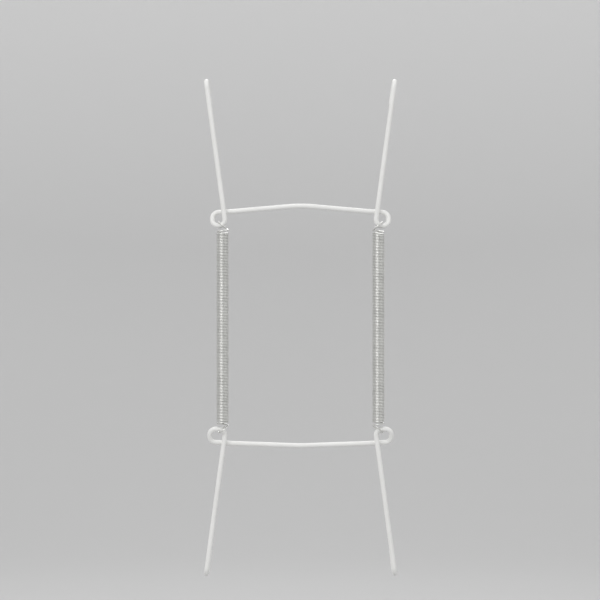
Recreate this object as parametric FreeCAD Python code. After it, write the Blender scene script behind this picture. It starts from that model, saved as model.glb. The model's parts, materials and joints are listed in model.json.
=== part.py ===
import math
import os

import FreeCAD
import Part
from FreeCAD import Vector

# A wall hanger for a plate: two frames bent from coated wire, drawn together by two extension springs.
# X runs across the hanger, Z up, and Y from the wall towards the plate, the way the hooks curl.
# The origin is under the middle of the upper crossbar, where the nail bears.

# Driving dimensions, in millimetres, degrees and whole turns

# Frames: heights run from the two shallow bends of the crossbar, spacings from centre to centre
wire_dia = 1.9
leg_height = 51.3
hook_spacing = 74.3
eye_spacing = 64.4
eye_bore = 2.9
eye_drop = 5.8
eye_dip = 0.6
upper_eye_run = 0.1
lower_eye_run = 1.2
upper_bar_rise = 2.3
lower_bar_rise = 0.9
bar_bend_spacing = 52.0
bar_bend_radius = 60.0
hook_gap = 6.5
hook_inner_radius = 1.55
lip_length = 9.0
tip_flat = 0.3

# Springs: the closed turns, the half turn that lifts off them at each end, and its loop,
# which tilts from level back over the turns and is turned a little about their axis
spring_wire = 0.6
spring_outer = 4.9
closed_turns = 127
lift_turns = 0.5
lift_bury = 0.35
lift_rise = 0.65
loop_turn = 300.0
loop_tilt = 40.0
loop_azimuth = 8.0

# Clearances: between a leg and the crossbar it crosses, and round the eye's wire inside a loop
crossing_gap = 0.15
loop_gap = 0.2
loop_slack = 1.15

# Values worked out from the dimensions
leg_y = -(wire_dia + crossing_gap)
eye_radius = (eye_bore + wire_dia) / 2
hook_radius = hook_inner_radius + wire_dia / 2
coil_radius = (spring_outer - spring_wire) / 2
coil_half = closed_turns * spring_wire / 2
loop_reach = (wire_dia + spring_wire) / 2
loop_radius = loop_reach + loop_slack
up = Vector(0, 0, 1)


def bent_path(corners):
    # Straight runs from point to point, with a tangent arc of its own radius at each inner point
    points = [point for point, _ in corners]
    radii = [radius for _, radius in corners[1:-1]]
    edges = []
    start = points[0]
    for before, corner, after, radius in zip(points, points[1:], points[2:], radii):
        way_in = (corner - before).normalize()
        way_out = (after - corner).normalize()
        half_turn = way_in.getAngle(way_out) / 2
        reach = radius * math.tan(half_turn)
        sagitta = radius / math.cos(half_turn) - radius
        arc_start = corner - way_in * reach
        arc_middle = corner + (way_out - way_in).normalize() * sagitta
        arc_end = corner + way_out * reach
        edges.append(Part.LineSegment(start, arc_start).toShape())
        edges.append(Part.Arc(arc_start, arc_middle, arc_end).toShape())
        start = arc_end
    edges.append(Part.LineSegment(start, points[-1]).toShape())
    return Part.Wire(edges)


def round_wire(path, diameter):
    # A round section swept along the path
    first = path.OrderedEdges[0]
    start = first.valueAt(first.FirstParameter)
    way = first.tangentAt(first.FirstParameter)
    section = Part.Wire(Part.makeCircle(diameter / 2, start, way))
    return path.makePipeShell([section], True, True)


def rounded_tips(wire, path):
    # The coating rounds over both cut ends, but for a small flat
    ends = [path.OrderedVertexes[0].Point, path.OrderedVertexes[-1].Point]
    rims = []
    for edge in wire.Edges:
        middle = edge.BoundBox.Center
        if edge.Closed and min((middle - end).Length for end in ends) < tip_flat:
            rims.append(edge)
    return wire.makeFillet((wire_dia - tip_flat) / 2, rims)


def eye_centre():
    # Centre of the bend where the right leg turns into its eye
    return Vector(eye_spacing / 2, leg_y, eye_radius - eye_drop)


def frame(eye_run, bar_rise):
    # One bent wire with its hooks upwards: tip, hook, leg, eye, crossbar, and the same again mirrored
    hook_top = Vector(hook_spacing / 2, leg_y, leg_height)
    hook_back = hook_top + Vector(0, hook_gap + wire_dia, 0)
    to_hook = hook_top - eye_centre()
    lean = math.atan2(to_hook.x, to_hook.z) + math.asin(eye_radius / to_hook.Length)
    along_leg = Vector(math.sin(lean), 0, math.cos(lean))
    leg_foot = hook_top - along_leg * ((leg_height + eye_drop) / along_leg.z)
    eye_outer = eye_spacing / 2 + eye_run + eye_radius
    right = [
        (hook_back - along_leg * lip_length, None),
        (hook_back, hook_radius),
        (hook_top, hook_radius),
        (leg_foot, eye_radius),
        (Vector(eye_outer, leg_y, -eye_drop), eye_radius),
        (Vector(eye_outer, 0, -eye_dip), eye_radius),
        (Vector(bar_bend_spacing / 2, 0, 0), bar_bend_radius),
    ]
    left = [(Vector(-point.x, point.y, point.z), radius) for point, radius in right]
    middle = [(Vector(0, 0, bar_rise), bar_bend_radius)]
    path = bent_path(left + middle + right[::-1])
    return rounded_tips(round_wire(path, wire_dia), path)


def spring_end():
    # The half turn that lifts off the closed turns, the loop it is bent up into, and that loop's top
    lift = Part.makeHelix(lift_rise / lift_turns, lift_rise, coil_radius)
    lift.rotate(Vector(), up, -360 * lift_turns)
    lift.translate(up * (coil_half - lift_bury))
    foot = Vector(coil_radius, 0, coil_half - lift_bury + lift_rise)
    ahead = Vector(0, 2 * math.pi * coil_radius * lift_turns, lift_rise).normalize()
    tilt = math.radians(loop_tilt)
    over = Vector(-math.cos(tilt), 0, math.sin(tilt))
    over = (over - ahead * over.dot(ahead)).normalize()

    def on_loop(degrees):
        angle = math.radians(degrees)
        return foot + (ahead * math.sin(angle) + over * (1 - math.cos(angle))) * loop_radius

    loop = Part.Arc(foot, on_loop(loop_turn / 2), on_loop(loop_turn)).toShape()
    path = Part.Wire(lift.Edges + [loop])
    return round_wire(path, spring_wire), on_loop(180)


def spring():
    # The closed turns are one sleeve that holds as much steel as they do
    wall = spring_wire * math.pi / 4
    foot = Vector(0, 0, -coil_half)
    outside = Part.makeCylinder(coil_radius + wall / 2, 2 * coil_half, foot)
    bore = Part.makeCylinder(coil_radius - wall / 2, 2 * coil_half, foot)
    upper_end, loop_top = spring_end()
    lower_end = upper_end.copy()
    lower_end.rotate(Vector(), Vector(1, 0, 0), 180)
    return outside.cut(bore).fuse([upper_end, lower_end]), loop_top


def save(name, shape):
    shape.exportStep(os.path.join("parts", name + ".step"))


os.makedirs("parts", exist_ok=True)

# The upper frame hangs by its crossbar, whose peak is a little below the corner that its bend rounds off
bar_slope = math.atan2(upper_bar_rise, bar_bend_spacing / 2)
peak_drop = bar_bend_radius * (1 / math.cos(bar_slope) - 1)
upper_lift = wire_dia / 2 - upper_bar_rise + peak_drop
upper = frame(upper_eye_run, upper_bar_rise)
upper.translate(up * upper_lift)
save("upper_wire", upper)

# Each spring hangs in an upper eye, with the top of its loop a little over the eye's wire
coil, loop_top = spring()
seat = eye_centre() - up * (eye_radius - loop_reach - loop_gap)
middle_z = upper_lift + seat.z - loop_top.z
coil.rotate(Vector(), up, loop_azimuth)
coil.translate(Vector(-seat.x - loop_top.x, leg_y, middle_z))
save("left_spring", coil)
coil.rotate(Vector(0, leg_y, 0), up, 180)
save("right_spring", coil)

# The lower frame is turned half round about Y and hangs in the lower loops
lower = frame(lower_eye_run, lower_bar_rise)
lower.rotate(Vector(), Vector(0, 1, 0), 180)
lower.translate(up * (2 * middle_z - upper_lift))
save("lower_wire", lower)
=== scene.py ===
import json
import math
from functools import partial

import bpy
from mathutils import Matrix, Vector


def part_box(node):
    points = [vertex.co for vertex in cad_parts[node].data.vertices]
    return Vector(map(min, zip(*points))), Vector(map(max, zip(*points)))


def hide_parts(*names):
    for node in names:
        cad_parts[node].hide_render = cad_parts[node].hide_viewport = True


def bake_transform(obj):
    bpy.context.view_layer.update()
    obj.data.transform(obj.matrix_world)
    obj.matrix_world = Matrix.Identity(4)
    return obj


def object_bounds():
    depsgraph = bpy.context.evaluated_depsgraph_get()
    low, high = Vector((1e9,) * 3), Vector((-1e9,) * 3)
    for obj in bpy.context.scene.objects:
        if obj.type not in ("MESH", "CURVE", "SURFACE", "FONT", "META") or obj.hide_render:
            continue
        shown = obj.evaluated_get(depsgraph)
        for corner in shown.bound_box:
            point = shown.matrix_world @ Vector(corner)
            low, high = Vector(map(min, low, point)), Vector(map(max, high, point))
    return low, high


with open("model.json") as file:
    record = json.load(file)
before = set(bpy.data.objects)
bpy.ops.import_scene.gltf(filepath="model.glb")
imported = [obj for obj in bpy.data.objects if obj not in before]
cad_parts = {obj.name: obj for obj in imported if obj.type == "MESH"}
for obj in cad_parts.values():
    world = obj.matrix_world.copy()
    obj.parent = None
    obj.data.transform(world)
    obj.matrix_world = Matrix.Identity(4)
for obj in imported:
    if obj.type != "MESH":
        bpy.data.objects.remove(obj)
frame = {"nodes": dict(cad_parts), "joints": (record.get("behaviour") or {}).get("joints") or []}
cadLow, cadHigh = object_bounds()
print("plate hanger: frame loaded,", len(frame["nodes"]), "nodes")


# Node helpers: a value is either a number for the socket or another socket to link to it

def feed(tree, socket, value):
    if isinstance(value, bpy.types.NodeSocket):
        tree.links.new(value, socket)
    else:
        socket.default_value = value


def addNode(tree, kind, inputs, **settings):
    node = tree.nodes.new(kind)
    for name, value in settings.items():
        setattr(node, name, value)
    for name, value in inputs.items():
        feed(tree, node.inputs[name], value)
    return node


def calc(tree, operation, *values, clamp=False):
    node = tree.nodes.new("ShaderNodeMath")
    node.operation = operation
    node.use_clamp = clamp
    for socket, value in zip(node.inputs, values):
        feed(tree, socket, value)
    return node.outputs[0]


def calcVector(tree, operation, *values):
    node = tree.nodes.new("ShaderNodeVectorMath")
    node.operation = operation
    sockets = (node.inputs[0], node.inputs["Scale"]) if operation == "SCALE" else node.inputs
    for socket, value in zip(sockets, values):
        feed(tree, socket, value)
    return node.outputs[0]


def newMaterial(name):
    material = bpy.data.materials.new(name)
    material.use_nodes = True
    tree = material.node_tree
    return material, tree, tree.nodes["Principled BSDF"]


def grain(tree, where, scale, detail):
    node = addNode(tree, "ShaderNodeTexNoise", {"Vector": where, "Scale": scale, "Detail": detail})
    return node.outputs["Fac"]


noiseBand = {"From Min": 0.3, "From Max": 0.7}  # nearly all of a noise texture lies in it


def spread(tree, noise, low, high):  # the noise, spread over low to high
    ends = {"Value": noise, "To Min": low, "To Max": high}
    return addNode(tree, "ShaderNodeMapRange", ends | noiseBand).outputs["Result"]


def mixColours(tree, factor, first, second):
    node = tree.nodes.new("ShaderNodeMix")
    node.data_type = "RGBA"
    feed(tree, node.inputs["Factor"], factor)
    feed(tree, node.inputs[6], first)  # the colour sockets share their names with the others
    feed(tree, node.inputs[7], second)
    return node.outputs[2]


# White plastic coating of the two bent wires

coating = {
    "white": (0.86, 0.86, 0.845, 1.0),
    "thin": (0.80, 0.80, 0.78, 1.0),   # where the coat lies thinner and the steel greys it
    "thinShare": 0.6,                  # how far a patch goes towards that
    "patchScale": 140.0,               # soft patches, about 7 mm
    "peelScale": 1500.0,               # orange peel, about 0.7 mm
    "sagScale": 260.0,                 # slow swells left by the dip
    "sagWeight": 2.5,                  # how much higher they are than the peel
    "bumpDepth": 0.00002,
    "bumpStrength": 0.5,
    "roughness": (0.34, 0.46),
    "ior": 1.5,
}


def coatedWire():
    material, tree, shader = newMaterial("coated_wire")
    where = tree.nodes.new("ShaderNodeTexCoord").outputs["Object"]
    patches = grain(tree, where, coating["patchScale"], detail=3.0)
    peel = grain(tree, where, coating["peelScale"], detail=1.0)
    sag = grain(tree, where, coating["sagScale"], detail=1.0)
    thinness = spread(tree, patches, 0.0, coating["thinShare"])
    colour = mixColours(tree, thinness, coating["white"], coating["thin"])
    relief = calc(tree, "MULTIPLY_ADD", sag, coating["sagWeight"], peel)
    bumps = {"Height": relief, "Strength": coating["bumpStrength"], "Distance": coating["bumpDepth"]}
    feed(tree, shader.inputs["Base Color"], colour)
    feed(tree, shader.inputs["Roughness"], spread(tree, sag, *coating["roughness"]))
    feed(tree, shader.inputs["Normal"], addNode(tree, "ShaderNodeBump", bumps).outputs["Normal"])
    shader.inputs["IOR"].default_value = coating["ior"]
    return material


whiteCoat = coatedWire()
for name in ("upper_wire", "lower_wire"):
    wire = frame["nodes"][name]
    wire.data.materials.clear()
    wire.data.materials.append(whiteCoat)
print("coated wires: finish on both frames")


# Bright drawn wire of the springs

steel = {
    "bright": (0.79, 0.79, 0.77, 1.0),
    "dull": (0.71, 0.71, 0.69, 1.0),
    "patchScale": 300.0,    # dull patches, about 3 mm
    "lineScale": 5.0,       # die lines round the wire
    "lineChange": 90.0,     # how fast they change along it, per metre
    "bumpDepth": 0.000006,
    "bumpStrength": 0.3,
    "roughness": (0.33, 0.41),
}


def springSteel():
    material, tree, shader = newMaterial("spring_steel")
    where = tree.nodes.new("ShaderNodeTexCoord").outputs["Object"]
    around = addNode(tree, "ShaderNodeAttribute", {}, attribute_name="aroundWire").outputs["Vector"]
    along = addNode(tree, "ShaderNodeAttribute", {}, attribute_name="alongWire").outputs["Fac"]
    drawn = addNode(tree, "ShaderNodeCombineXYZ", {"Z": calc(tree, "MULTIPLY", along, steel["lineChange"])})
    onWire = calcVector(tree, "ADD", around, drawn.outputs["Vector"])
    lines = grain(tree, onWire, steel["lineScale"], detail=2.0)
    patches = grain(tree, where, steel["patchScale"], detail=3.0)
    colour = mixColours(tree, spread(tree, patches, 0.0, 1.0), steel["bright"], steel["dull"])
    bumps = {"Height": lines, "Strength": steel["bumpStrength"], "Distance": steel["bumpDepth"]}
    feed(tree, shader.inputs["Base Color"], colour)
    feed(tree, shader.inputs["Roughness"], spread(tree, lines, *steel["roughness"]))
    feed(tree, shader.inputs["Normal"], addNode(tree, "ShaderNodeBump", bumps).outputs["Normal"])
    shader.inputs["Metallic"].default_value = 1.0
    return material


# Extension springs: close-wound turns that open a little at the ends, a half turn that lifts
# off them, and a loop bent up and back over the turns

spring = {
    "wire": 0.0006,
    "outside": 0.0049,
    "pitch": 0.000603,              # a hair over the wire, so that the turns lie apart
    "openTurns": 1.0,               # at each end, this much of the coil opens
    "endOpening": 0.0002,           # by this much or a little more, to fill the frame's length
    "openingEase": 3.0,             # and slowly at first
    "liftRise": 0.00065,
    "loopRadius": 0.0024,
    "loopTurn": math.radians(300),
    "loopTilt": math.radians(40),   # from level
    "loopAzimuth": math.radians(8),
    "pointsPerTurn": 32,
    "sides": 12,
    "sharpAngle": math.radians(60),
}


def springTree():
    tree = bpy.data.node_groups.new("springWire", "GeometryNodeTree")
    sizes = ("Wire Diameter", "Coil Radius", "Closed Turns", "Turn Pitch", "Open Turns", "End Opening",
             "Opening Ease", "Lift Rise", "Loop Radius", "Loop Turn", "Points Per Turn")
    kinds = dict.fromkeys(sizes, "NodeSocketFloat")
    kinds |= dict.fromkeys(("Loop Ahead", "Loop Over"), "NodeSocketVector")
    kinds |= {"Sides": "NodeSocketInt", "Material": "NodeSocketMaterial"}
    for name, kind in kinds.items():
        tree.interface.new_socket(name, in_out="INPUT", socket_type=kind)
    tree.interface.new_socket("Geometry", in_out="OUTPUT", socket_type="NodeSocketGeometry")
    given = tree.nodes.new("NodeGroupInput").outputs
    put = partial(addNode, tree)
    work = partial(calc, tree)
    workVector = partial(calcVector, tree)

    # angles wound from the middle of the coil to the lift, to the foot of the loop, and to its tip
    toLift = work("MULTIPLY", given["Closed Turns"], math.pi)
    toFoot = work("ADD", toLift, math.pi)
    toTip = work("ADD", toFoot, given["Loop Turn"])
    count = work("ROUND", work("MULTIPLY", toTip, work("DIVIDE", given["Points Per Turn"], math.pi)))
    index = tree.nodes.new("GeometryNodeInputIndex").outputs["Index"]
    share = work("DIVIDE", index, work("SUBTRACT", count, 1.0))
    wound = work("MULTIPLY", toTip, work("MULTIPLY_ADD", share, -2.0, 1.0))  # from the upper tip down
    far = work("ABSOLUTE", wound)

    # the coil, with the half turn that lifts off it
    closed = work("MINIMUM", far, toLift)
    coiled = work("MINIMUM", far, toFoot)
    rise = work("MULTIPLY", closed, work("DIVIDE", given["Turn Pitch"], 2 * math.pi))
    openAngle = work("MULTIPLY", given["Open Turns"], 2 * math.pi)
    opened = work("SUBTRACT", closed, work("SUBTRACT", toLift, openAngle))
    opened = work("POWER", work("DIVIDE", opened, openAngle, clamp=True), given["Opening Ease"])
    opened = work("MULTIPLY", opened, given["End Opening"])
    lifted = work("DIVIDE", work("SUBTRACT", coiled, toLift), math.pi, clamp=True)
    lifted = work("MULTIPLY", lifted, given["Lift Rise"])
    height = work("ADD", work("ADD", rise, opened), lifted)
    turned = work("SUBTRACT", coiled, toFoot)
    across = work("MULTIPLY", work("COSINE", turned), given["Coil Radius"])
    deep = work("MULTIPLY", work("SINE", turned), given["Coil Radius"])
    place = put("ShaderNodeCombineXYZ", {"X": across, "Y": deep, "Z": height}).outputs["Vector"]

    # the loop, which is nothing until the foot is passed
    loopAngle = work("MAXIMUM", work("SUBTRACT", far, toFoot), 0.0)
    goAhead = work("MULTIPLY", work("SINE", loopAngle), given["Loop Radius"])
    goOver = work("MULTIPLY", work("SUBTRACT", 1.0, work("COSINE", loopAngle)), given["Loop Radius"])
    place = workVector("ADD", place, workVector("SCALE", given["Loop Ahead"], goAhead))
    place = workVector("ADD", place, workVector("SCALE", given["Loop Over"], goOver))

    # the lower half is the upper one turned half round
    side = work("SIGN", wound)
    turn = put("ShaderNodeCombineXYZ", {"X": 1.0, "Y": side, "Z": side}).outputs["Vector"]
    place = workVector("MULTIPLY", place, turn)

    # the wire's middle line, which knows its share of the stretch, 0 above and 1 below, and its length
    line = tree.nodes.new("GeometryNodeCurvePrimitiveLine").outputs["Curve"]
    path = put("GeometryNodeResampleCurve", {"Curve": line, "Count": count}).outputs["Curve"]
    path = put("GeometryNodeSetPosition", {"Geometry": path, "Position": place}).outputs["Geometry"]
    stretch = work("MULTIPLY_ADD", work("DIVIDE", wound, toLift), -0.5, 0.5, clamp=True)
    along = work("MULTIPLY", wound, given["Coil Radius"])
    for name, value in (("stretchShare", stretch), ("alongWire", along)):
        stored = put("GeometryNodeStoreNamedAttribute", {"Geometry": path, "Name": name, "Value": value})
        path = stored.outputs["Geometry"]

    # its round section, which knows the way out from the middle
    radius = work("MULTIPLY", given["Wire Diameter"], 0.5)
    circle = put("GeometryNodeCurvePrimitiveCircle", {"Resolution": given["Sides"], "Radius": radius})
    onRim = tree.nodes.new("GeometryNodeInputPosition").outputs["Position"]
    wayOut = workVector("SCALE", onRim, work("DIVIDE", 1.0, radius))
    rim = {"Geometry": circle.outputs["Curve"], "Name": "aroundWire", "Value": wayOut}
    section = put("GeometryNodeStoreNamedAttribute", rim, data_type="FLOAT_VECTOR").outputs["Geometry"]

    swept = put("GeometryNodeCurveToMesh", {"Curve": path, "Profile Curve": section, "Fill Caps": True})
    whole = put("GeometryNodeRealizeInstances", {"Geometry": swept.outputs["Mesh"]}).outputs["Geometry"]
    finished = put("GeometryNodeSetMaterial", {"Geometry": whole, "Material": given["Material"]})
    put("NodeGroupOutput", {"Geometry": finished.outputs["Geometry"]})
    return tree


def woundSpring(tree, material):
    coilRadius = (spring["outside"] - spring["wire"]) / 2
    ahead = Vector((0, math.pi * coilRadius, spring["liftRise"])).normalized()
    over = Vector((-math.cos(spring["loopTilt"]), 0, math.sin(spring["loopTilt"])))
    over = (over - ahead * over.dot(ahead)).normalized()

    # what the loops and the lifts leave of the frame's length is filled with turns
    low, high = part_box("left_spring")
    loopHeight = spring["loopRadius"] * (over.z + math.hypot(ahead.z, over.z)) + spring["wire"] / 2
    coilHalf = (high.z - low.z) / 2 - loopHeight - spring["liftRise"]
    closedTurns = math.floor(2 * (coilHalf - spring["endOpening"]) / spring["pitch"])
    values = {
        "Wire Diameter": spring["wire"],
        "Coil Radius": coilRadius,
        "Closed Turns": float(closedTurns),
        "Turn Pitch": spring["pitch"],
        "Open Turns": spring["openTurns"],
        "End Opening": coilHalf - closedTurns * spring["pitch"] / 2,
        "Opening Ease": spring["openingEase"],
        "Lift Rise": spring["liftRise"],
        "Loop Radius": spring["loopRadius"],
        "Loop Turn": spring["loopTurn"],
        "Points Per Turn": float(spring["pointsPerTurn"]),
        "Loop Ahead": ahead,
        "Loop Over": over,
        "Sides": spring["sides"],
        "Material": material,
    }
    carrier = bpy.data.objects.new("springCarrier", bpy.data.meshes.new("springCarrier"))
    bpy.context.scene.collection.objects.link(carrier)
    modifier = carrier.modifiers.new("springWire", "NODES")
    modifier.node_group = tree
    for socket in tree.interface.items_tree:
        if socket.in_out == "INPUT":
            modifier[socket.identifier] = values[socket.name]
    carrier.update_tag()
    depsgraph = bpy.context.evaluated_depsgraph_get()
    mesh = bpy.data.meshes.new_from_object(carrier.evaluated_get(depsgraph))
    carrier.modifiers.remove(modifier)
    bpy.data.objects.remove(carrier)
    mesh.shade_smooth()
    mesh.set_sharp_from_angle(angle=spring["sharpAngle"])  # the cut ends stay crisp
    print("springs: wound, with", closedTurns, "closed turns each")
    return mesh


def placeSpring(mesh, name, node):
    low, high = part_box(node)
    onLeft = high.x < 0
    reach = spring["outside"] / 2
    swivel = next(joint for joint in frame["joints"] if joint["name"] == "upper_swivel")
    axisX = low.x + reach if onLeft else high.x - reach
    axisY = swivel["pos_m"][1]  # the springs hang in the plane of the swivels
    middle = Matrix.Translation(Vector((axisX, axisY, (low.z + high.z) / 2)))
    turn = spring["loopAzimuth"] + (0 if onLeft else math.pi)
    piece = bpy.data.objects.new(name, mesh.copy())
    piece.data.transform(middle @ Matrix.Rotation(turn, 4, "Z"))
    bpy.context.scene.collection.objects.link(piece)
    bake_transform(piece)
    # each point's share of the stretch is read back from the mesh
    shares = [0.0] * len(piece.data.vertices)
    piece.data.attributes["stretchShare"].data.foreach_get("value", shares)
    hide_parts(node)


springMesh = woundSpring(springTree(), springSteel())
placeSpring(springMesh, "left_coil", "left_spring")
placeSpring(springMesh, "right_coil", "right_spring")
bpy.data.meshes.remove(springMesh)


# Pale room: a round floor that curves up into its wall

room = {
    "floorZ": -0.33,       # below the hooks when the springs are drawn right out
    "hub": 0.02,           # radius of the face in the middle of the floor
    "flat": 1.6,
    "curve": 0.9,
    "wall": 0.15,
    "segments": 96,
    "curveSteps": 16,
    "floorColour": (0.49, 0.49, 0.49, 1.0),
    "wallColour": (0.86, 0.86, 0.86, 1.0),   # paler, as less light falls on it
    "roughness": 0.9,
}


def roomProfile():  # radius and height, from the hub out to the top of the wall
    flat, curve, steps = room["flat"], room["curve"], room["curveSteps"]
    profile = [(room["hub"], 0.0), (flat, 0.0)]
    for step in range(1, steps + 1):
        angle = step / steps * math.pi / 2
        profile.append((flat + curve * math.sin(angle), curve * (1 - math.cos(angle))))
    profile.append((flat + curve, curve + room["wall"]))
    return profile


def roomMesh():
    profile = roomProfile()
    count = room["segments"]
    points = []
    for radius, height in profile:
        for step in range(count):
            angle = step / count * 2 * math.pi
            points.append((radius * math.cos(angle), radius * math.sin(angle), room["floorZ"] + height))
    faces = [list(range(count))]
    for ring in range(len(profile) - 1):
        inner, outer = ring * count, (ring + 1) * count
        for step in range(count):
            after = (step + 1) % count
            faces.append((inner + step, outer + step, outer + after, inner + after))
    mesh = bpy.data.meshes.new("paleRoom")
    mesh.from_pydata(points, [], faces)
    mesh.shade_smooth()
    return mesh


def palePaint():
    material, tree, shader = newMaterial("pale_room")
    where = tree.nodes.new("ShaderNodeTexCoord").outputs["Object"]
    height = addNode(tree, "ShaderNodeSeparateXYZ", {"Vector": where}).outputs["Z"]
    rising = {"Value": height, "From Min": room["floorZ"], "From Max": room["floorZ"] + room["curve"]}
    climb = addNode(tree, "ShaderNodeMapRange", rising).outputs["Result"]
    feed(tree, shader.inputs["Base Color"], mixColours(tree, climb, room["floorColour"], room["wallColour"]))
    shader.inputs["Roughness"].default_value = room["roughness"]
    return material


paleRoom = bpy.data.objects.new("paleRoom", roomMesh())
paleRoom.data.materials.append(palePaint())
bpy.context.scene.collection.objects.link(paleRoom)
print("room: floor and wall ready")


# Soft studio light, mostly from the upper left

lamps = {
    "key": {"at": (-0.9, -1.3, 1.1), "size": (0.7, 0.7), "power": 8.0},
    "strip": {"at": (-0.16, -0.75, 0.3), "size": (0.16, 0.8), "power": 0.7},  # bright line down the springs
    "fill": {"at": (1.3, -0.8, 0.5), "size": (1.0, 1.0), "power": 2.0},
    "back": {"at": (0.0, 1.5, 1.1), "size": (0.9, 0.9), "power": 11.0},
}
sky = {"colour": (0.92, 0.92, 0.92, 1.0), "strength": 0.86}


def aim(thing, place, target):
    thing.location = place
    thing.rotation_euler = (target - Vector(place)).to_track_quat("-Z", "Y").to_euler()


def studioLight():
    centre = (cadLow + cadHigh) / 2
    for name, given in lamps.items():
        light = bpy.data.lights.new(name, "AREA")
        light.shape = "RECTANGLE"
        light.size, light.size_y = given["size"]
        light.energy = given["power"]
        lamp = bpy.data.objects.new(name, light)
        lamp.visible_camera = False
        bpy.context.scene.collection.objects.link(lamp)
        aim(lamp, given["at"], centre)
    world = bpy.data.worlds.new("studio")
    world.use_nodes = True
    background = world.node_tree.nodes["Background"]
    background.inputs["Color"].default_value = sky["colour"]
    background.inputs["Strength"].default_value = sky["strength"]
    bpy.context.scene.world = world


studioLight()
print("light: lamps and sky ready")


# The camera of the photograph, level and square to the hanger

camera = {
    "lens": 135.0,
    "sensor": 36.0,
    "distance": 0.888,
    "aim": (-0.0002, -0.0361),  # x and z of the middle of the picture
}


def levelCamera():
    eye = bpy.data.cameras.new("photoCamera")
    eye.lens = camera["lens"]
    eye.sensor_width = camera["sensor"]
    photoCamera = bpy.data.objects.new("photoCamera", eye)
    bpy.context.scene.collection.objects.link(photoCamera)
    aimX, aimZ = camera["aim"]
    aim(photoCamera, (aimX, -camera["distance"], aimZ), Vector((aimX, 0, aimZ)))
    bpy.context.scene.camera = photoCamera


levelCamera()
bpy.context.scene.view_settings.view_transform = "Standard"
print("camera: ready")
